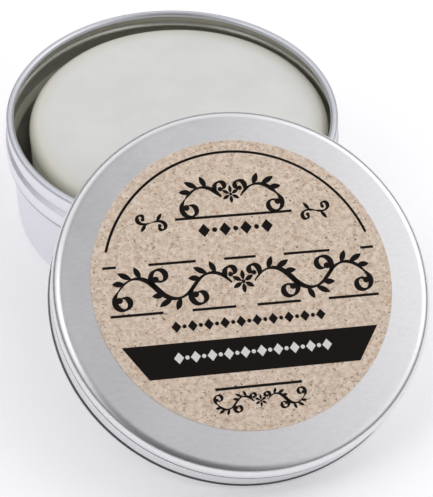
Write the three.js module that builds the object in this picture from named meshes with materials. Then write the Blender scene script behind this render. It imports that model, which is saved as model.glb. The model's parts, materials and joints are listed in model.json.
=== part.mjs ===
// A shaving soap in a round drawn-aluminium tin, shown open.
//
// The tin stands on the table with the loose soap puck in it. Its lid leans on the front of the rim
// with one edge on the table. Millimetres, +Z up, table at z = 0, the set's footprint centred on the
// origin. Every piece is a turned shape, so each one is a closed profile in (radius, height).
import * as THREE from "three";

// --- driving dimensions ---------------------------------------------------------------------------
const TURNED_SEGMENTS = 48;

const SHEET = 0.5; // thickness of the drawn aluminium

const TIN_HEIGHT = 31.5;
const TIN_BODY_RADIUS = 40.5; // plain lower wall
const TIN_BEAD_RADIUS = 42.0; // rolled bead that the lid snaps over
const TIN_NECK_RADIUS = 41.2; // between the bead and the rim
const TIN_CORNER_RADIUS = 3.2; // between the wall and the base
const TIN_CURL_RADIUS = 0.95; // section of the rim, which is curled inwards
const STEP_HEIGHT = 20.6; // middle of the step where the wall widens to the bead
const STEP_HALF_RISE = 0.8; // the step slopes over twice this height
const BEAD_CROWN = 0.3; // how far the bead bulges past its two edges
const BEAD_MIDDLE = 23.0; // height of the bead's widest line
const GROOVE_HEIGHT = 26.6; // groove between the bead and the neck
const GROOVE_DEPTH = 0.5;
const GROOVE_HALF_WIDTH = 1.0;
const FOOT_INNER_RADIUS = 33.5; // the base stands on a ring outside this radius
const FOOT_HEIGHT = 0.8; // the panel inside the ring is raised by this

const PUCK_RADIUS = 37.6;
const PUCK_TOP = 27.8;
const PUCK_TOP_EDGE = 2.4; // rounding of the pressed puck's upper edge
const PUCK_BOTTOM_EDGE = 1.6;
const PUCK_OFFSET = new THREE.Vector2(1.6, 1.1); // the loose puck has slid towards the back right

const LID_RADIUS = 42.7; // outside of the skirt
const LID_DEPTH = 12.1; // edge of the skirt to top of the panel
const LID_SHOULDER = 2.5;
const LID_CURL_RADIUS = 0.8; // section of the skirt's rolled edge
const LID_CURL_PROUD = 0.5; // how far the rolled edge stands out from the skirt
const LID_GROOVE_HEIGHT = 9.0; // fine groove round the skirt, just below the shoulder
const LID_GROOVE_DEPTH = 0.3;
const LID_GROOVE_HALF_WIDTH = 0.5;
const LID_SKIRT_LOW = 2.1; // height at which the rolled edge runs into the skirt

const LINER_RADIUS = 40.2;
const LINER_THICKNESS = 1.5;

const PAPER = 0.15;
const LABEL_RADIUS = 33.8;
const LABEL_OFFSET = new THREE.Vector2(-0.2, 0.8); // stuck on slightly off centre
const BASE_LABEL_RADIUS = 30.0;

const LAID_GAP = 0.1; // between pieces laid on each other inside the leaning lid
const SEAT_GAP = 0.02; // the same in the upright tin

const LEAN = THREE.MathUtils.degToRad(25.7); // slope of the leaning lid
const SWING = THREE.MathUtils.degToRad(18.9); // lean direction, turned from -Y towards +X
const LID_REACH = 54.9; // tin axis to the centre of the lid's mouth, seen from above
const LID_LIFT_OFF_TABLE = 0.05;

// --- materials ------------------------------------------------------------------------------------
const material = (color, roughness, metalness = 0) =>
  new THREE.MeshStandardMaterial({ color, roughness, metalness });

const tinAluminium = material(0xd6d8dd, 0.38, 1.0);
const lidAluminium = material(0xcccfd3, 0.45, 1.0);
const pressedSoap = material(0xdcdcd6, 0.55);
const linerFoam = material(0xf2f2ef, 0.9);
const kraftPaper = material(0xd3c0ac, 0.85);
const plainPaper = material(0xe6e4de, 0.8);

// --- profile helpers ------------------------------------------------------------------------------
const point = (radius, height) => new THREE.Vector2(radius, height);

// Points of an arc in the profile plane, angles in degrees from the outward direction, 90 is up.
function arc(radius, height, size, from, to, steps) {
  const points = [];
  for (let i = 0; i <= steps; i += 1) {
    const angle = THREE.MathUtils.degToRad(from + ((to - from) * i) / steps);
    points.push(point(radius + size * Math.cos(angle), height + size * Math.sin(angle)));
  }
  return points;
}

// The inner face of a sheet whose outer face goes through these points, run the other way.
const innerFace = (outer) => outer.map((p) => point(p.x - SHEET, p.y)).reverse();

// A solid of revolution about +Z. The profile runs with the material on its left.
function turned(name, profile, look) {
  const geometry = new THREE.LatheGeometry(profile, TURNED_SEGMENTS);
  geometry.rotateX(Math.PI / 2);
  const mesh = new THREE.Mesh(geometry, look);
  mesh.name = name;
  return mesh;
}

// A flat round piece from one height up to another.
function disc(name, radius, low, high, look) {
  return turned(name, [point(0, low), point(radius, low), point(radius, high), point(0, high)], look);
}

// --- the tin --------------------------------------------------------------------------------------
function tinBody() {
  const cornerCentre = TIN_BODY_RADIUS - TIN_CORNER_RADIUS;
  const curlCentre = TIN_NECK_RADIUS - TIN_CURL_RADIUS;
  const curlHeight = TIN_HEIGHT - TIN_CURL_RADIUS;
  const wall = [
    point(TIN_BODY_RADIUS, STEP_HEIGHT - STEP_HALF_RISE),
    point(TIN_BEAD_RADIUS - BEAD_CROWN, STEP_HEIGHT + STEP_HALF_RISE),
    point(TIN_BEAD_RADIUS, BEAD_MIDDLE),
    point(TIN_BEAD_RADIUS - BEAD_CROWN, GROOVE_HEIGHT - GROOVE_HALF_WIDTH),
    point(TIN_NECK_RADIUS - GROOVE_DEPTH, GROOVE_HEIGHT),
    point(TIN_NECK_RADIUS, GROOVE_HEIGHT + GROOVE_HALF_WIDTH),
  ];
  const outside = [
    point(0, FOOT_HEIGHT),
    point(FOOT_INNER_RADIUS - FOOT_HEIGHT, FOOT_HEIGHT),
    point(FOOT_INNER_RADIUS, 0),
    ...arc(cornerCentre, TIN_CORNER_RADIUS, TIN_CORNER_RADIUS, -90, 0, 4),
    ...wall,
  ];
  const curl = arc(curlCentre, curlHeight, TIN_CURL_RADIUS, 0, 225, 6);
  const inside = [
    point(TIN_NECK_RADIUS - SHEET, curlHeight - TIN_CURL_RADIUS),
    ...innerFace(wall),
    ...arc(cornerCentre, TIN_CORNER_RADIUS, TIN_CORNER_RADIUS - SHEET, 0, -90, 3),
    point(FOOT_INNER_RADIUS, SHEET),
    point(FOOT_INNER_RADIUS - FOOT_HEIGHT, FOOT_HEIGHT + SHEET),
    point(0, FOOT_HEIGHT + SHEET),
  ];
  return turned("tin_body", [...outside, ...curl, ...inside], tinAluminium);
}

function baseLabel() {
  const top = FOOT_HEIGHT - SEAT_GAP;
  return disc("base_label", BASE_LABEL_RADIUS, top - PAPER, top, plainPaper);
}

function soapPuck() {
  const bottom = FOOT_HEIGHT + SHEET + SEAT_GAP;
  const lowCentre = PUCK_RADIUS - PUCK_BOTTOM_EDGE;
  const highCentre = PUCK_RADIUS - PUCK_TOP_EDGE;
  const profile = [
    point(0, bottom),
    ...arc(lowCentre, bottom + PUCK_BOTTOM_EDGE, PUCK_BOTTOM_EDGE, -90, 0, 2),
    ...arc(highCentre, PUCK_TOP - PUCK_TOP_EDGE, PUCK_TOP_EDGE, 0, 90, 5),
    point(0, PUCK_TOP),
  ];
  const puck = turned("soap_puck", profile, pressedSoap);
  puck.position.set(PUCK_OFFSET.x, PUCK_OFFSET.y, 0);
  return puck;
}

// --- the lid, mouth down, with the centre of its mouth at the group's origin ------------------------
function lidShell() {
  const curlCentre = LID_RADIUS + LID_CURL_PROUD - LID_CURL_RADIUS;
  const shoulderCentre = LID_RADIUS - LID_SHOULDER;
  const shoulderHeight = LID_DEPTH - LID_SHOULDER;
  const edge = arc(curlCentre, LID_CURL_RADIUS, LID_CURL_RADIUS, -170, 60, 6);
  const skirt = [
    point(LID_RADIUS, LID_SKIRT_LOW),
    point(LID_RADIUS, LID_GROOVE_HEIGHT - LID_GROOVE_HALF_WIDTH),
    point(LID_RADIUS - LID_GROOVE_DEPTH, LID_GROOVE_HEIGHT),
    point(LID_RADIUS, LID_GROOVE_HEIGHT + LID_GROOVE_HALF_WIDTH),
  ];
  const profile = [
    ...edge,
    ...skirt,
    ...arc(shoulderCentre, shoulderHeight, LID_SHOULDER, 0, 90, 4),
    point(0, LID_DEPTH),
    point(0, LID_DEPTH - SHEET),
    ...arc(shoulderCentre, shoulderHeight, LID_SHOULDER - SHEET, 90, 0, 4),
    ...innerFace(skirt),
    edge[0].clone(),
  ];
  return turned("lid_shell", profile, lidAluminium);
}

function lidLiner() {
  const top = LID_DEPTH - SHEET - LAID_GAP;
  return disc("lid_liner", LINER_RADIUS, top - LINER_THICKNESS, top, linerFoam);
}

function lidLabel() {
  const bottom = LID_DEPTH + LAID_GAP;
  const label = disc("lid_label", LABEL_RADIUS, bottom, bottom + PAPER, kraftPaper);
  label.position.set(LABEL_OFFSET.x, LABEL_OFFSET.y, 0);
  return label;
}

// The lid rests on the lowest point of its rolled edge, so its height follows from its slope.
function leaningLid() {
  const lid = new THREE.Group();
  lid.add(lidShell(), lidLiner(), lidLabel());
  const curlCentre = LID_RADIUS + LID_CURL_PROUD - LID_CURL_RADIUS;
  const centreHeight =
    curlCentre * Math.sin(LEAN) + LID_CURL_RADIUS - LID_CURL_RADIUS * Math.cos(LEAN);
  lid.rotation.set(LEAN, 0, SWING, "ZYX");
  lid.position.set(
    LID_REACH * Math.sin(SWING),
    -LID_REACH * Math.cos(SWING),
    centreHeight + LID_LIFT_OFF_TABLE,
  );
  return lid;
}

// --- the set --------------------------------------------------------------------------------------
const set = new THREE.Group();
set.add(tinBody(), baseLabel(), soapPuck(), leaningLid());

// Move the set so that the middle of its footprint is at the origin.
set.updateMatrixWorld(true);
const footprint = new THREE.Box3().setFromObject(set, true);
const middle = footprint.getCenter(new THREE.Vector3());
set.position.set(-middle.x, -middle.y, 0);
set.updateMatrixWorld(true);

export default set;
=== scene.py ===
import json
import math

import bmesh
import bpy
from mathutils import Matrix, Vector, noise


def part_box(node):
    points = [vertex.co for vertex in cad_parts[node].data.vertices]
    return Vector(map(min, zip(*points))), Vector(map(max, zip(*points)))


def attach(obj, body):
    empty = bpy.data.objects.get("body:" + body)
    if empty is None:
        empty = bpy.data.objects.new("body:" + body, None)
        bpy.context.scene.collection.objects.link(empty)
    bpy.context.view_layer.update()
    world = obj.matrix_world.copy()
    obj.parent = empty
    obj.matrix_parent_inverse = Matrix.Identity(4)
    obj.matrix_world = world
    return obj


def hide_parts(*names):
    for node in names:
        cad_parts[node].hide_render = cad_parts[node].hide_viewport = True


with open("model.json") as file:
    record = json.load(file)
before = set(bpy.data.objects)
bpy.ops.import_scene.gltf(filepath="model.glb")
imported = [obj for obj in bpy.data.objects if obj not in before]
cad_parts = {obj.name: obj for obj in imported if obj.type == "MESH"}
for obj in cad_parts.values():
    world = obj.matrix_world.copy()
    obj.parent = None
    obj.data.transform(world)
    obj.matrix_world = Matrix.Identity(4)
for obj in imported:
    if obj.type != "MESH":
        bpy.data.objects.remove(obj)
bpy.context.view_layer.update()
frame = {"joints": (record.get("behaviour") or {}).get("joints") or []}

MM = 0.001  # profiles, prints and textures are in millimetres, as in the part's source

# --- sizes of the real pieces, in millimetres -----------------------------------------------------
SHEET = 0.45  # drawn aluminium

TIN_HEIGHT = 31.5
TIN_BODY_RADIUS = 40.5
TIN_BEAD_RADIUS = 42.0
TIN_NECK_RADIUS = 41.2
TIN_CORNER_RADIUS = 3.2
TIN_CURL_RADIUS = 0.95
TIN_CURL_HEIGHT = TIN_HEIGHT - TIN_CURL_RADIUS
STEP_HEIGHT = 20.6
STEP_HALF_RISE = 0.8
BEAD_MIDDLE = 23.0
GROOVE_HEIGHT = 26.6
GROOVE_DEPTH = 0.5
FOOT_INNER_RADIUS = 33.5
FOOT_HEIGHT = 0.8

PUCK_RADIUS = 37.6
PUCK_TOP = 27.8
PUCK_TOP_EDGE = 2.4
PUCK_BOTTOM = 1.32
PUCK_BOTTOM_EDGE = 1.6

LID_RADIUS = 42.7
LID_DEPTH = 12.1
LID_CURL_RADIUS = 0.8
LID_CURL_PROUD = 0.5
LID_SHOULDER = 2.5
LID_GROOVE_HEIGHT = 9.0
LID_GROOVE_DEPTH = 0.35
LID_GROOVE_HALF_WIDTH = 0.4
LID_SKIRT_LOW = 2.2  # where the skirt runs into its rolled edge

LINER_RADIUS = 40.2
LINER_LOW = 10.0
LINER_HIGH = 11.5
LINER_EDGE = 0.3

PAPER = 0.15
PAPER_EDGE = 0.05
LABEL_RADIUS = 33.8
LABEL_OFFSET = (-0.2, 0.8)  # stuck on slightly off centre
LABEL_LOW = LID_DEPTH + 0.01
LABEL_TOP = LABEL_LOW + PAPER
BASE_LABEL_RADIUS = 30.0
BASE_LABEL_TOP = FOOT_HEIGHT - 0.02

TURN_STEPS = 256  # steps round a turned piece
SHEET_WAVINESS = 0.05  # how far drawn metal strays from a true circle
SOAP_WAVINESS = 0.12
SWAY_ROUND = 2.2  # size of a turn round a piece in the noise: the bigger, the more waves
SWAY_HEIGHT = 12  # height over which the waviness changes
SHARP_ANGLE = 40  # degrees from which an edge is shaded as sharp


# --- places, all from the frame -------------------------------------------------------------------
def middle(node):
    """Centre of a CAD node's box."""
    low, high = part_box(node)
    return (low + high) / 2


def upright(node):
    """A frame on the axis of an upright turned node, with its origin on the table."""
    centre = middle(node)
    return Matrix.Translation((centre.x, centre.y, 0))


def leaning():
    """The lid's frame: origin in the middle of its mouth, Z along its axis, X level."""
    lift = next(j for j in frame["joints"] if j["name"] == "lid_lift")
    up = Vector(lift["axis"]).normalized()
    across = Vector((-up.y, up.x, 0)).normalized()
    back = up.cross(across)
    liner_middle = (LINER_LOW + LINER_HIGH) / 2 * MM
    turn = Matrix((across, back, up)).transposed().to_4x4()
    return Matrix.Translation(middle("lid_liner") - up * liner_middle) @ turn


TIN_FRAME = upright("tin_body")
PUCK_FRAME = upright("soap_puck")
LID_FRAME = leaning()


# --- mesh helpers ---------------------------------------------------------------------------------
def finish_piece(name, mesh, place, materials, body, node):
    """Stores each point's own place for the materials and hangs the mesh in the frame."""
    own = mesh.attributes.new("place", "FLOAT_VECTOR", "POINT")
    for vertex, value in zip(mesh.vertices, own.data):
        value.vector = vertex.co
    mesh.transform(place @ Matrix.Scale(MM, 4))
    for polygon in mesh.polygons:
        polygon.use_smooth = True
    mesh.set_sharp_from_angle(angle=math.radians(SHARP_ANGLE))
    for material in materials:
        mesh.materials.append(material)
    piece = bpy.data.objects.new(name, mesh)
    bpy.context.scene.collection.objects.link(piece)
    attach(piece, body)
    if node:
        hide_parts(node)
    return piece


def rounded(corners, steps):
    """An outline through corners (radius, height, fillet), each rounded by an arc of its fillet."""
    points = []
    last = len(corners) - 1
    for i, (x, y, fillet) in enumerate(corners):
        here = Vector((x, y))
        if i in (0, last) or fillet <= 0:
            points.append(here)
            continue
        before = (Vector(corners[i - 1][:2]) - here).normalized()
        after = (Vector(corners[i + 1][:2]) - here).normalized()
        half = before.angle(after) / 2
        reach = fillet / math.tan(half)
        start, end = here + before * reach, here + after * reach
        centre = here + (before + after).normalized() * (fillet / math.sin(half))
        a, b = start - centre, end - centre
        sweep = a.angle_signed(b)
        for k in range(steps + 1):
            turn = Matrix.Rotation(-sweep * k / steps, 2)
            points.append(centre + turn @ a)
    return points


def arc(x, y, radius, start, end, steps):
    """Points of an arc, angles in degrees from the outward direction, 90 is up."""
    angles = [math.radians(start + (end - start) * k / steps) for k in range(steps + 1)]
    return [Vector((x + radius * math.cos(a), y + radius * math.sin(a))) for a in angles]


def offset(points, distance):
    """The outline moved sideways, to its left, by the sheet's thickness."""
    moved = []
    for i, point in enumerate(points):
        ahead = points[min(i + 1, len(points) - 1)] - points[max(i - 1, 0)]
        left = Vector((-ahead.y, ahead.x)).normalized()
        moved.append(point + left * distance)
    return moved


def turned(outline, waviness=0.0):
    """A solid of revolution whose radius wavers by waviness. The outline runs from axis to axis."""
    mesh = bmesh.new()
    rings = []
    for x, y in outline:
        if x == 0:
            rings.append([mesh.verts.new((0, 0, y))])
            continue
        ring = []
        calm_middle = min(1, x / 20)
        for k in range(TURN_STEPS):
            a = 2 * math.pi * k / TURN_STEPS
            across, along = math.cos(a), math.sin(a)
            sway = noise.noise(Vector((SWAY_ROUND * across, SWAY_ROUND * along, y / SWAY_HEIGHT)))
            r = x + waviness * sway * calm_middle
            ring.append(mesh.verts.new((r * across, r * along, y)))
        rings.append(ring)
    for low, high in zip(rings, rings[1:]):
        for k in range(TURN_STEPS):
            n = (k + 1) % TURN_STEPS
            if len(low) == 1:
                corners = (low[0], high[n], high[k])
            elif len(high) == 1:
                corners = (low[k], low[n], high[0])
            else:
                corners = (low[k], low[n], high[n], high[k])
            mesh.faces.new(corners)
    made = bpy.data.meshes.new("turned")
    mesh.to_mesh(made)
    mesh.free()
    return made


# --- materials ------------------------------------------------------------------------------------
class Nodes:
    """A material's node tree with short calls for the nodes that the materials here use."""

    def __init__(self, name):
        self.material = bpy.data.materials.new(name)
        self.material.use_nodes = True
        self.tree = self.material.node_tree
        self.shader = self.tree.nodes["Principled BSDF"]
        attribute = self.tree.nodes.new("ShaderNodeAttribute")
        attribute.attribute_name = "place"
        self.place = attribute.outputs["Vector"]

    def link(self, source, target):
        self.tree.links.new(source, target)

    def stretched(self, scale, turn=0.0):
        """The piece's own millimetres, turned about Z and scaled."""
        node = self.tree.nodes.new("ShaderNodeMapping")
        node.inputs["Rotation"].default_value = (0, 0, math.radians(turn))
        node.inputs["Scale"].default_value = scale
        self.link(self.place, node.inputs["Vector"])
        return node.outputs["Vector"]

    def noise(self, vector, detail=3.0, roughness=0.5):
        node = self.tree.nodes.new("ShaderNodeTexNoise")
        node.inputs["Scale"].default_value = 1.0
        node.inputs["Detail"].default_value = detail
        node.inputs["Roughness"].default_value = roughness
        self.link(vector, node.inputs["Vector"])
        return node.outputs["Fac"]

    def from_axis(self, radius):
        """Distance from the piece's axis, 1 at that radius."""
        node = self.tree.nodes.new("ShaderNodeVectorMath")
        node.operation = "LENGTH"
        self.link(self.stretched((1 / radius, 1 / radius, 0)), node.inputs[0])
        return node.outputs["Value"]

    def cells(self, vector):
        """Distance to the middle of the nearest foam cell."""
        node = self.tree.nodes.new("ShaderNodeTexVoronoi")
        node.inputs["Scale"].default_value = 1.0
        self.link(vector, node.inputs["Vector"])
        return node.outputs["Distance"]

    def ramp(self, factor, *stops):
        """stops are (position, value) with a value that is a grey or a colour."""
        node = self.tree.nodes.new("ShaderNodeValToRGB")
        elements = node.color_ramp.elements
        while len(elements) < len(stops):
            elements.new(0.5)
        for element, (position, value) in zip(elements, stops):
            element.position = position
            colour = value if isinstance(value, tuple) else (value,) * 3
            element.color = (*colour, 1)
        self.link(factor, node.inputs["Fac"])
        return node.outputs["Color"]

    def mix(self, factor, low, high):
        """Mixes two colours; each input is a socket or a value."""
        node = self.tree.nodes.new("ShaderNodeMix")
        node.data_type = "RGBA"
        for socket, value in ((node.inputs[0], factor), (node.inputs[6], low), (node.inputs[7], high)):
            if isinstance(value, bpy.types.NodeSocket):
                self.link(value, socket)
            elif isinstance(value, tuple):
                socket.default_value = (*value, 1)
            else:
                socket.default_value = value
        return node.outputs[2]

    def bump(self, height, strength, distance):
        node = self.tree.nodes.new("ShaderNodeBump")
        node.inputs["Strength"].default_value = strength
        node.inputs["Distance"].default_value = distance
        self.link(height, node.inputs["Height"])
        self.link(node.outputs["Normal"], self.shader.inputs["Normal"])

    def set(self, **values):
        for key, value in values.items():
            socket = self.shader.inputs[key.replace("_", " ")]
            if isinstance(value, bpy.types.NodeSocket):
                self.link(value, socket)
            elif isinstance(value, tuple) and len(value) == 3 and socket.type == "RGBA":
                socket.default_value = (*value, 1)
            else:
                socket.default_value = value
        return self.material


def aluminium(name, tint, smooth, rough, grain, turn=0.0, metal=1.0, streakiness=0.12, burnish=None):
    """Satin aluminium with a rolling grain along the piece's X, and faint clouds from handling.

    burnish is (near, far, roughness): from the radius near to far the finish turns into that roughness.
    """
    n = Nodes(name)
    streaks = n.noise(n.stretched((0.5, 1.5, 1.5), turn), detail=5, roughness=0.75)
    clouds = n.noise(n.stretched((0.06, 0.06, 0.06)), detail=3)
    dull = tuple(c * (1 - streakiness) for c in tint)
    tone = n.mix(0.4, n.ramp(streaks, (0.3, dull), (0.7, tint)),
                 n.ramp(clouds, (0.35, tuple(c * 0.97 for c in tint)), (0.65, tint)))
    finish = n.mix(0.35, n.ramp(clouds, (0.3, smooth), (0.7, rough)),
                   n.ramp(streaks, (0.3, smooth), (0.7, rough)))
    if burnish:
        near, far, polished = burnish
        share = n.ramp(n.from_axis(far), (near / far, 0.0), (1.0, 1.0))
        finish = n.mix(share, finish, (polished,) * 3)
    n.bump(streaks, grain, 0.02 * MM)
    return n.set(Base_Color=tone, Metallic=metal, Roughness=finish)


def painted_shade_metal(name, dark, light):
    """Metal darkened in a crease as painted shade, for the shadow and dark reflections that gather
    there.
    """
    n = Nodes(name)
    shade_noise = n.noise(n.stretched((0.5, 0.5, 0.5)), detail=4)
    return n.set(Base_Color=n.ramp(shade_noise, (0.3, dark), (0.7, light)), Metallic=0.5,
                 Roughness=n.ramp(shade_noise, (0.3, 0.5), (0.7, 0.65)))


# painted shade, nearly black, for the lid's groove and the crease over its rolled edge
DARK_PAINTED_SHADE = painted_shade_metal("lid_crease_painted_shade", (0.05, 0.05, 0.055), (0.09, 0.09, 0.10))
# paler painted shade along the tin's step under its bead
SOFT_PAINTED_SHADE = painted_shade_metal("step_painted_shade", (0.50, 0.50, 0.54), (0.60, 0.60, 0.64))
TIN_OUTSIDE = aluminium("tin_outside", (0.88, 0.87, 0.925), 0.34, 0.44, 0.35)
# the rim's aluminium is darker than the wall's: painted shade that dulls its reflections
SHADED_TIN_RIM = aluminium("tin_rim_painted_shade", (0.69, 0.70, 0.75), 0.36, 0.44, 0.35)
TIN_INSIDE = aluminium("tin_inside", (0.86, 0.86, 0.81), 0.2, 0.28, 0.1, metal=0.8)  # lacquered
LID_FACE = aluminium("lid_face", (0.83, 0.825, 0.85), 0.36, 0.46, 0.6, turn=6, streakiness=0.15,
                     burnish=(39.9, 41.6, 0.27))  # by the tool that rolled the shoulder
LID_INSIDE = aluminium("lid_inside", (0.80, 0.81, 0.82), 0.2, 0.3, 0.2)


def soap():
    """Faintly blotchy soap that lets a little light in, with painted shade, darker and warmer, towards
    its edge.
    """
    n = Nodes("pressed_soap")
    blotches = n.noise(n.stretched((0.09, 0.09, 0.09)), detail=4)
    grain = n.noise(n.stretched((1.6, 1.6, 1.6)), detail=4, roughness=0.6)
    tone = n.ramp(blotches, (0.3, (0.79, 0.79, 0.77)), (0.7, (0.84, 0.84, 0.825)))
    # painted shade: the soap turns darker and warmer towards its edge
    tone = n.mix(n.ramp(n.from_axis(PUCK_RADIUS), (0.86, 0.0), (1.0, 1.0)), tone, (0.74, 0.715, 0.62))
    finish = n.ramp(grain, (0.3, 0.42), (0.7, 0.55))
    n.bump(grain, 0.12, 0.05 * MM)
    return n.set(Base_Color=tone, Roughness=finish, Subsurface_Weight=0.25,
                 Subsurface_Radius=(1.0, 0.8, 0.55), Subsurface_Scale=0.0018, Specular_IOR_Level=0.4)


def foam():
    """White foam with fine closed cells."""
    n = Nodes("liner_foam")
    distance = n.cells(n.stretched((2.6, 2.6, 2.6)))
    tone = n.ramp(distance, (0.1, (0.80, 0.80, 0.79)), (0.6, (0.88, 0.88, 0.87)))
    n.bump(distance, 0.35, 0.08 * MM)
    return n.set(Base_Color=tone, Roughness=0.85)


def paper(name, low, high, specks):
    """Uncoated paper: cloudy pulp, short fibres, and dark and rusty specks where specks is above 0."""
    n = Nodes(name)
    pulp = n.noise(n.stretched((0.8, 0.8, 0.8)), detail=6, roughness=0.75)
    fibres = n.noise(n.stretched((0.7, 3.6, 1.0), 35), detail=3, roughness=0.7)
    tone = n.ramp(pulp, (0.37, low), (0.60, high))
    tone = n.mix(n.ramp(fibres, (0.54, 0.0), (0.70, 0.5)), tone, tuple(c * 0.78 for c in low))
    if specks:
        rust = n.noise(n.stretched((0.9, 1.1, 1.0)), detail=4, roughness=0.75)
        tone = n.mix(n.ramp(rust, (0.53, 0.0), (0.66, 0.75)), tone, (0.60, 0.35, 0.22))
        dark = n.noise(n.stretched((1.5, 1.9, 1.0), 60), detail=3, roughness=0.65)
        tone = n.mix(n.ramp(dark, (0.60, 0.0), (0.69, specks)), tone, (0.13, 0.085, 0.06))
    n.bump(pulp, 0.3, 0.04 * MM)
    return n.set(Base_Color=tone, Roughness=0.85, Specular_IOR_Level=0.25)


def ink(name, low, high):
    """Flat printing ink, a little thinner in places where the paper drank it."""
    n = Nodes(name)
    spread = n.noise(n.stretched((3.0, 3.0, 3.0)), detail=3, roughness=0.6)
    finish = n.ramp(spread, (0.3, 0.5), (0.7, 0.7))
    return n.set(Base_Color=n.ramp(spread, (0.3, low), (0.7, high)), Roughness=finish,
                 Specular_IOR_Level=0.1)


KRAFT = paper("kraft_paper", (0.69, 0.54, 0.42), (0.96, 0.81, 0.68), 0.95)
PLAIN_PAPER = paper("plain_paper", (0.74, 0.73, 0.70), (0.82, 0.81, 0.79), 0)
INK = ink("dark_ink", (0.006, 0.0045, 0.004), (0.011, 0.008, 0.007))
PALE_INK = ink("pale_print", (0.80, 0.77, 0.74), (0.88, 0.86, 0.83))


# --- turned pieces --------------------------------------------------------------------------------
LEVEL = 0.9  # a face whose normal has this much of Z lies about level
RIM_BELOW_CURL = 0.3  # the rim's darker aluminium, which is painted shade, starts this far below the middle of its curl
STEP_SHADE_REACH = 1.1  # painted shade covers the step this far from the middle of its upper half
GROOVE_SHADE_REACH = 0.34  # the same for the lid's groove
LID_SHADE_LOW = 1.4
LID_SHADE_TOP = 2.8  # the crease over the lid's rolled edge has painted shade from there up to here


def paint(mesh, materials, finish):
    """Gives each face the material that finish(height, up, outward) returns for it.

    up is the Z of its normal. outward is above 0 where the face looks away from the axis.
    """
    for polygon in mesh.polygons:
        centre, normal = polygon.center, polygon.normal
        outward = normal.x * centre.x + normal.y * centre.y
        polygon.material_index = materials.index(finish(centre.z, normal.z, outward))


def tin_finish_and_shade(height, up, outward):
    # the rim gets the darker aluminium, as painted shade
    if height > TIN_CURL_HEIGHT - RIM_BELOW_CURL:
        return SHADED_TIN_RIM
    # painted shade along the step under the bead
    if outward > 0 and abs(height - (STEP_HEIGHT + STEP_HALF_RISE / 2)) < STEP_SHADE_REACH:
        return SOFT_PAINTED_SHADE
    if outward < 0 or (up > LEVEL and height < STEP_HEIGHT):
        return TIN_INSIDE
    return TIN_OUTSIDE


def make_tin():
    foot = FOOT_INNER_RADIUS
    body = TIN_BODY_RADIUS
    bead = TIN_BEAD_RADIUS
    neck = TIN_NECK_RADIUS
    wall = rounded([
        (0, FOOT_HEIGHT, 0),
        (foot - 0.9, FOOT_HEIGHT, 0.7),  # edge of the raised panel
        (foot, 0, 0.7),  # inner edge of the standing ring
        (body, 0, TIN_CORNER_RADIUS),
        (body, STEP_HEIGHT - STEP_HALF_RISE, 0.5),
        (bead - 0.15, STEP_HEIGHT + STEP_HALF_RISE, 0.9),  # the bead bulges a little
        (bead, BEAD_MIDDLE, 8.0),
        (bead - 0.25, GROOVE_HEIGHT - 1.05, 0.6),
        (neck - GROOVE_DEPTH, GROOVE_HEIGHT, 0.4),
        (neck - 0.05, GROOVE_HEIGHT + 0.75, 0.5),
        (neck, TIN_CURL_HEIGHT, 0),
    ], steps=8)
    curl = arc(neck - TIN_CURL_RADIUS, TIN_CURL_HEIGHT, TIN_CURL_RADIUS, 0, 285, 26)
    outside = wall + curl[1:]
    inside = offset(outside, SHEET)
    inside[0].x = 0
    mesh = turned(outside + inside[::-1], SHEET_WAVINESS)
    materials = (TIN_OUTSIDE, SHADED_TIN_RIM, TIN_INSIDE, SOFT_PAINTED_SHADE)
    paint(mesh, materials, tin_finish_and_shade)
    return finish_piece("tin_shell", mesh, TIN_FRAME, materials, "tin", "tin_body")


def make_disc(name, radius, low, high, edge, place, material, body, node, centre=(0, 0)):
    """A round flat piece from low to high, its two rims rounded by edge."""
    outline = rounded([(0, low, 0), (radius, low, edge), (radius, high, edge), (0, high, 0)], steps=4)
    mesh = turned(outline)
    mesh.transform(Matrix.Translation((*centre, 0)))
    return finish_piece(name, mesh, place, (material,), body, node)


def make_puck():
    outline = rounded([
        (0, PUCK_BOTTOM, 0),
        (PUCK_RADIUS - 0.3, PUCK_BOTTOM, PUCK_BOTTOM_EDGE),  # narrower below, as it left its mould
        (PUCK_RADIUS, PUCK_TOP, PUCK_TOP_EDGE),
        (26, PUCK_TOP, 0),  # inside this radius the top is very slightly dished
        (0, PUCK_TOP - 0.1, 0),
    ], steps=14)
    mesh = turned(outline, SOAP_WAVINESS)
    return finish_piece("puck", mesh, PUCK_FRAME, (soap(),), "puck", "soap_puck")


def lid_finish_and_shade(height, up, outward):
    if outward < 0 or (up < -LEVEL and height > LID_GROOVE_HEIGHT):
        return LID_INSIDE
    # painted shade on the groove and on the crease over the rolled edge
    in_groove = abs(height - LID_GROOVE_HEIGHT) < GROOVE_SHADE_REACH
    if in_groove or LID_SHADE_LOW < height < LID_SHADE_TOP:
        return DARK_PAINTED_SHADE
    return LID_FACE


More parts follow.
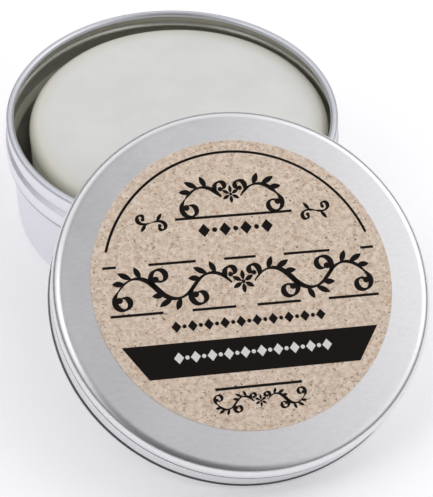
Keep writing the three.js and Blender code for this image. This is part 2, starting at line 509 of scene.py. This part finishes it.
def make_lid():
    skirt = LID_RADIUS
    curl_x = skirt + LID_CURL_PROUD - LID_CURL_RADIUS
    outside = rounded([
        (0, LID_DEPTH, 0),
        (skirt, LID_DEPTH, LID_SHOULDER),
        (skirt, LID_GROOVE_HEIGHT + LID_GROOVE_HALF_WIDTH, 0.15),
        (skirt - LID_GROOVE_DEPTH, LID_GROOVE_HEIGHT, 0.12),
        (skirt, LID_GROOVE_HEIGHT - LID_GROOVE_HALF_WIDTH, 0.15),
        (skirt, LID_SHADE_TOP, 0),
        (skirt, LID_SKIRT_LOW, 0.4),
        (curl_x + 0.35, 1.55, 0),
    ], steps=10)
    curl = arc(curl_x, LID_CURL_RADIUS, LID_CURL_RADIUS, 62, -210, 26)
    path = outside + curl[1:]
    inside = offset(path, -SHEET)
    inside[0].x = 0
    mesh = turned(inside + path[::-1], SHEET_WAVINESS)
    materials = (LID_FACE, LID_INSIDE, DARK_PAINTED_SHADE)
    paint(mesh, materials, lid_finish_and_shade)
    return finish_piece("lid_cap", mesh, LID_FRAME, materials, "lid", "lid_shell")


make_tin()
make_puck()
make_lid()
make_disc("base_sticker", BASE_LABEL_RADIUS, BASE_LABEL_TOP - PAPER, BASE_LABEL_TOP, PAPER_EDGE,
          TIN_FRAME, PLAIN_PAPER, "tin", "base_label")
make_disc("lid_foam", LINER_RADIUS, LINER_LOW, LINER_HIGH, LINER_EDGE,
          LID_FRAME, foam(), "lid", "lid_liner")
make_disc("lid_sticker", LABEL_RADIUS, LABEL_LOW, LABEL_TOP, PAPER_EDGE,
          LID_FRAME, KRAFT, "lid", "lid_label", LABEL_OFFSET)


# --- the label's print ----------------------------------------------------------------------------
PRINT_TURN = -6.85  # degrees by which the label was stuck on askew
INK_SINK = 0.02  # how far a print's prisms reach into the paper
INK_PROUD = 0.02  # how far they stand out of it
LEAF_PROUD = 0.024  # leaves and dots lie on the strokes
HEART_PROUD = 0.028  # a rosette's heart lies on its leaves
PALE_PROUD = 0.035  # pale shapes lie on the black banner
RULE = 0.6  # thickness of the printed lines
NIB = math.radians(20)  # angle at which the broad pen is held
BORDER_RADIUS = 31.0
OVAL_STEPS = 16

VINE_STEPS = 32  # steps along an arch or a curl
STEEP = math.radians(50)  # slope at which a vine crosses its axis
WINDING = 1.5  # how much tighter a vine's curl grows towards its end
VINE_LEAVES = (  # share of the arch, fork from the stem in radians, length for an arch of 1
    (0.42, 0.95, 0.30),
    (0.60, 0.80, 0.34),
    (0.80, 0.75, 0.27),
)
SCROLL_TILT = -0.25  # slope of the lying scrolls
SCROLL_WINDING = 2.1

# The rules over and under the big vine, broken where its leaves reach through: from, to, height.
LINE_PIECES = (
    (0.0, 3.6, 5.4),
    (10.0, 20.6, 5.4),
    (27.8, 30.8, 5.4),
    (2.4, 12.2, -5.8),
    (18.6, 30.2, -5.8),
)
BANNER = ((-23.4, -20.6), (23.4, -20.6), (28.6, -12.9), (-28.6, -12.9))  # its four corners


class Print:
    """Flat closed shapes of ink on the label, in the label's own upright millimetres."""

    def __init__(self, name, material, proud=INK_PROUD):
        self.name = name
        self.material = material
        self.proud = proud
        self.mesh = bmesh.new()
        self.turn = Matrix.Rotation(math.radians(PRINT_TURN), 2)

    def level(self, points, height):
        placed = [self.turn @ Vector(point) + Vector(LABEL_OFFSET) for point in points]
        return [self.mesh.verts.new((x, y, LABEL_TOP + height)) for x, y in placed]

    def shape(self, outline, proud=None):
        """A prism on a convex outline that runs anticlockwise."""
        low = self.level(outline, -INK_SINK)
        high = self.level(outline, proud or self.proud)
        self.mesh.faces.new(low[::-1])
        self.mesh.faces.new(high)
        for i in range(len(outline)):
            n = (i + 1) % len(outline)
            self.mesh.faces.new((low[i], low[n], high[n], high[i]))

    def stroke(self, points, widths):
        """A ribbon along points, as wide at each as widths says."""
        left, right = [], []
        for i, (point, width) in enumerate(zip(points, widths)):
            ahead = points[min(i + 1, len(points) - 1)] - points[max(i - 1, 0)]
            side = Vector((-ahead.y, ahead.x)).normalized() * width / 2
            left.append(point + side)
            right.append(point - side)
        rows = [self.level(left, -INK_SINK), self.level(left, self.proud),
                self.level(right, self.proud), self.level(right, -INK_SINK)]
        for i in range(len(points) - 1):
            for a, b in zip(rows, rows[1:] + rows[:1]):
                self.mesh.faces.new((a[i], a[i + 1], b[i + 1], b[i]))
        self.mesh.faces.new([row[0] for row in rows])
        self.mesh.faces.new([row[-1] for row in rows[::-1]])

    def finish(self):
        bmesh.ops.recalc_face_normals(self.mesh, faces=self.mesh.faces)
        mesh = bpy.data.meshes.new(self.name)
        self.mesh.to_mesh(mesh)
        self.mesh.free()
        return finish_piece(self.name, mesh, LID_FRAME, (self.material,), "lid", None)


def oval(x, y, long, wide, heading=0.0, pointed=False):
    """A leaf with pointed ends, or an ellipse, centred at x, y with its length along heading."""
    turn = Matrix.Rotation(math.radians(heading), 2)
    points = []
    for k in range(OVAL_STEPS):
        a = 2 * math.pi * k / OVAL_STEPS
        across = math.sin(a) * (abs(math.sin(a)) if pointed else 1)
        points.append(turn @ Vector((long / 2 * math.cos(a), wide / 2 * across)) + Vector((x, y)))
    return points


def lozenge(x, y, width, height):
    centre, right, up = Vector((x, y)), Vector((width / 2, 0)), Vector((0, height / 2))
    return [centre + right, centre + up, centre - right, centre - up]


def rule(x_from, x_to, y):
    """A level printed line, as the points and widths of a stroke."""
    return [Vector((x_from, y)), Vector((x_to, y))], (RULE, RULE)


def bead_row(sheet, half_length, y, height, count):
    """Lozenges with dots between them, centred on the label's upright axis."""
    pitch = 2 * half_length / (count - 1)
    for k in range(count):
        x = -half_length + k * pitch
        if k % 2:
            sheet.shape(oval(x, y, height * 0.36, height * 0.36))
        else:
            sheet.shape(lozenge(x, y, height * 0.85, height))


def walk(start, headings, length):
    """Points of a line of that length from start, each step in the next heading."""
    points = [Vector(start)]
    for heading in headings:
        ahead = Vector((math.cos(heading), math.sin(heading)))
        points.append(points[-1] + length / len(headings) * ahead)
    return points


def pen(points, thin, thick):
    """Widths of a broad pen's line: thick down the page, thin across it and at its ends."""
    widths = []
    last = len(points) - 1
    for i in range(last + 1):
        ahead = points[min(i + 1, last)] - points[max(i - 1, 0)]
        down = abs(math.sin(math.atan2(ahead.y, ahead.x) - NIB))
        taper = min(1, 6 * i / last, 6 * (last - i) / last)
        widths.append((thin + (thick - thin) * down ** 1.3) * (0.35 + 0.65 * taper))
    return widths


def mirrored(points, side):
    """The points as they are for side 1, mirrored about the upright axis for side -1."""
    return [Vector((point.x * side, point.y)) for point in points]


def spiral(start, heading, length, turns, winding=WINDING):
    """A line that starts along heading, in radians, and winds up tighter and tighter."""
    wound = [((k + 0.5) / VINE_STEPS) ** winding for k in range(VINE_STEPS)]
    return walk(start, [heading + 2 * math.pi * turns * share for share in wound], length)


def arch_headings(up):
    """The headings along one arch of a vine, which rises and falls for up = 1."""
    return [up * STEEP * math.cos(math.pi * (k + 0.5) / VINE_STEPS) for k in range(VINE_STEPS)]


def leaf(base, heading, long, wide):
    """A pointed leaf that grows from base along heading, in radians."""
    centre = base + long / 2 * Vector((math.cos(heading), math.sin(heading)))
    return oval(centre.x, centre.y, long, wide, math.degrees(heading), pointed=True)


def both_sides(sheet, strokes, shapes, thin, thick):
    """Draws strokes and shapes, and again mirrored about the label's upright axis."""
    for side in (1, -1):
        for stroke in strokes:
            line = mirrored(stroke, side)
            sheet.stroke(line, pen(line, thin, thick))
        for shape in shapes:
            sheet.shape(mirrored(shape, side)[::side], LEAF_PROUD)


def vine(sheet, start, arch, arches, thick):
    """A running stem of arches with a curl inside and leaves outside each, and a first tendril.

    Arches rise and fall in turn, and their curls, leaves and tendril with them. arch is the length
    of one along the stem.
    """
    up = 1
    stem = [Vector(start)]
    sprout = VINE_STEPS // 6
    tendril_root = walk(start, arch_headings(up), arch)[sprout]
    strokes = [spiral(tendril_root, arch_headings(up)[sprout] + up * 0.45, 0.62 * arch, up * 0.85)]
    shapes = [oval(*strokes[0][-1], 0.11 * arch, 0.11 * arch)]
    for _ in range(arches):
        headings = arch_headings(up)
        root = len(stem) - 1
        stem += walk(stem[-1], headings, arch)[1:]
        curl = spiral(stem[-1], -up * STEEP, 1.08 * arch, -up * 1.02)
        strokes.append(curl)
        shapes.append(oval(*curl[-1], 0.14 * arch, 0.14 * arch))
        for share, fork, long in VINE_LEAVES:
            k = int(share * VINE_STEPS)
            shapes.append(leaf(stem[root + k], headings[k] + up * fork, long * arch, 0.13 * arch))
        up = -up
    strokes.append(stem)
    both_sides(sheet, strokes, shapes, thick * 0.36, thick)


def rosette(sheet, x, y, size):
    """Six pointed leaves round a dot."""
    for heading in (30, 90, 150, 210, 270, 330):
        away = Matrix.Rotation(math.radians(heading), 2) @ Vector((size * 0.62, 0))
        petal = oval(x + away.x, y + away.y, size * 0.95, size * 0.42, heading, pointed=True)
        sheet.shape(petal, LEAF_PROUD)
    sheet.shape(oval(x, y, size * 0.34, size * 0.34), HEART_PROUD)


def side_scrolls(sheet, x, y, size, thick):
    """A lying scroll between two leaves, at both sides of the label."""
    centre = Vector((x, y))
    strokes, shapes = [], []
    for way in (0, 1):
        heading = math.pi * way + SCROLL_TILT
        line = spiral(centre, heading, size, 0.92, SCROLL_WINDING)
        strokes.append(line)
        shapes.append(oval(*line[-1], 0.13 * size, 0.13 * size))
        shapes.append(leaf(line[VINE_STEPS // 5], heading - 0.7, 0.34 * size, 0.13 * size))
    both_sides(sheet, strokes, shapes, thick * 0.4, thick)


def make_print():
    """The label's print, laid out upright with the label's middle at 0, 0."""
    lines = Print("print_lines", INK)
    border = arc(0, 0, BORDER_RADIUS, 17, 163, 96)
    lines.stroke(border, [RULE] * len(border))
    for half_length, y in ((13.4, 15.5), (9.6, -24.0)):
        lines.stroke(*rule(-half_length, half_length, y))
    for side in (-1, 1):
        for near, far, y in LINE_PIECES:
            lines.stroke(*rule(side * near, side * far, y))
    lines.finish()

    vines = Print("print_vines", INK)
    vine(vines, (2.6, -0.2), 10.3, 3, 1.35)
    rosette(vines, 0, -0.2, 2.5)
    vine(vines, (2.2, 20.1), 10.2, 1, 1.2)
    rosette(vines, 0, 20.6, 2.0)
    vine(vines, (1.5, -27.3), 4.9, 2, 0.75)
    rosette(vines, 0, -27.3, 1.3)
    side_scrolls(vines, 18.8, 15.2, 6.6, 0.95)
    vines.finish()

    beads = Print("print_beads", INK)
    bead_row(beads, 7.2, 12.4, 3.2, 7)
    bead_row(beads, 16.2, -9.3, 2.6, 19)
    beads.finish()

    banner = Print("print_banner", INK)
    banner.shape([Vector(corner) for corner in BANNER])
    banner.finish()

    pale = Print("print_banner_beads", PALE_INK, PALE_PROUD)
    bead_row(pale, 16.5, -16.3, 2.6, 19)
    pale.finish()


make_print()


# --- stage, light and camera ----------------------------------------------------------------------
FLOOR_HALF = 3.0  # metres from its middle to its edges
FLOOR_GLOW = 0.26  # the floor is a light table
WALL_TONES = (  # sine of elevation, tone
    (0.0, 0.07),
    (0.24, 0.10),
    (0.48, 0.82),
    (0.80, 0.82),
    (0.913, 0.62),
    (0.96, 0.40),
    (0.985, 0.28),
    (1.0, 0.22),
)
WALL_STRENGTH = 1.25  # radiance at tone 1
STAND_DIRECTION = (0.0, -0.77, 0.64)  # of the camera's dark stand
STAND_SPREAD = (18, 38)  # degrees from the middle of the stand to its soft edge
STAND_TONE = 0.15
SOFTBOX_DISTANCE = 1.6  # metres

CAMERA_FROM_TIN = Vector((17.0, -271.8, 258.9)) * MM  # from the tin's axis on the table
CAMERA_ELEVATION = 45.5
CAMERA_YAW = 1.08
CAMERA_ROLL = 1.63
CAMERA_LENS = 102.85


def make_floor():
    mesh = bpy.data.meshes.new("floor")
    far = FLOOR_HALF
    corners = [(-far, -far, 0), (far, -far, 0), (far, far, 0), (-far, far, 0)]
    mesh.from_pydata(corners, [], [(0, 1, 2, 3)])
    n = Nodes("floor")
    n.set(Base_Color=(0.93, 0.92, 0.945), Roughness=0.9, Emission_Color=(1.0, 1.0, 1.0),
          Emission_Strength=FLOOR_GLOW)
    mesh.materials.append(n.material)
    floor = bpy.data.objects.new("floor", mesh)
    bpy.context.scene.collection.objects.link(floor)


def make_softbox(name, direction, size, radiance):
    """A square softbox that faces the object from a direction. radiance is that of its face."""
    lamp = bpy.data.lights.new(name, "AREA")
    lamp.shape = "SQUARE"
    lamp.size = size
    lamp.energy = radiance * math.pi * size ** 2
    light = bpy.data.objects.new(name, lamp)
    away = Vector(direction).normalized()
    light.location = away * SOFTBOX_DISTANCE
    light.rotation_euler = away.to_track_quat("Z", "Y").to_euler()
    bpy.context.scene.collection.objects.link(light)


def make_camera():
    data = bpy.data.cameras.new("camera")
    data.lens = CAMERA_LENS
    data.sensor_width = 36
    data.clip_start = 0.01
    camera = bpy.data.objects.new("camera", data)
    turn = (Matrix.Rotation(math.radians(CAMERA_YAW), 4, "Z")
            @ Matrix.Rotation(math.radians(90 - CAMERA_ELEVATION), 4, "X")
            @ Matrix.Rotation(math.radians(CAMERA_ROLL), 4, "Z"))
    camera.matrix_world = Matrix.Translation(TIN_FRAME.translation + CAMERA_FROM_TIN) @ turn
    bpy.context.scene.collection.objects.link(camera)
    bpy.context.scene.camera = camera


def make_world():
    """Studio walls, dark near the floor and dim at the top, with the dark camera stand in front."""
    world = bpy.data.worlds.new("studio")
    world.use_nodes = True
    tree = world.node_tree
    where = tree.nodes.new("ShaderNodeTexCoord").outputs["Generated"]

    parts = tree.nodes.new("ShaderNodeSeparateXYZ")
    tree.links.new(where, parts.inputs["Vector"])
    walls = tree.nodes.new("ShaderNodeValToRGB")
    while len(walls.color_ramp.elements) < len(WALL_TONES):
        walls.color_ramp.elements.new(0.5)
    for element, (height, tone) in zip(walls.color_ramp.elements, WALL_TONES):
        element.position = height
        element.color = (tone, tone, tone, 1)
    tree.links.new(parts.outputs["Z"], walls.inputs["Fac"])

    towards = tree.nodes.new("ShaderNodeVectorMath")
    towards.operation = "DOT_PRODUCT"
    towards.inputs[1].default_value = STAND_DIRECTION
    tree.links.new(where, towards.inputs[0])
    stand = tree.nodes.new("ShaderNodeMapRange")
    stand.interpolation_type = "SMOOTHSTEP"
    stand.inputs["From Min"].default_value = math.cos(math.radians(STAND_SPREAD[1]))
    stand.inputs["From Max"].default_value = math.cos(math.radians(STAND_SPREAD[0]))
    stand.inputs["To Min"].default_value = WALL_STRENGTH
    stand.inputs["To Max"].default_value = WALL_STRENGTH * STAND_TONE
    tree.links.new(towards.outputs["Value"], stand.inputs["Value"])

    background = tree.nodes["Background"]
    tree.links.new(walls.outputs["Color"], background.inputs["Color"])
    tree.links.new(stand.outputs["Result"], background.inputs["Strength"])
    bpy.context.scene.world = world


make_floor()
make_softbox("key", (0.70, 0.26, 0.66), 1.4, 0.66)
make_softbox("fill", (-0.51, -0.28, 0.81), 0.6, 1.4)
make_camera()
make_world()
bpy.context.scene.view_settings.view_transform = "Standard"
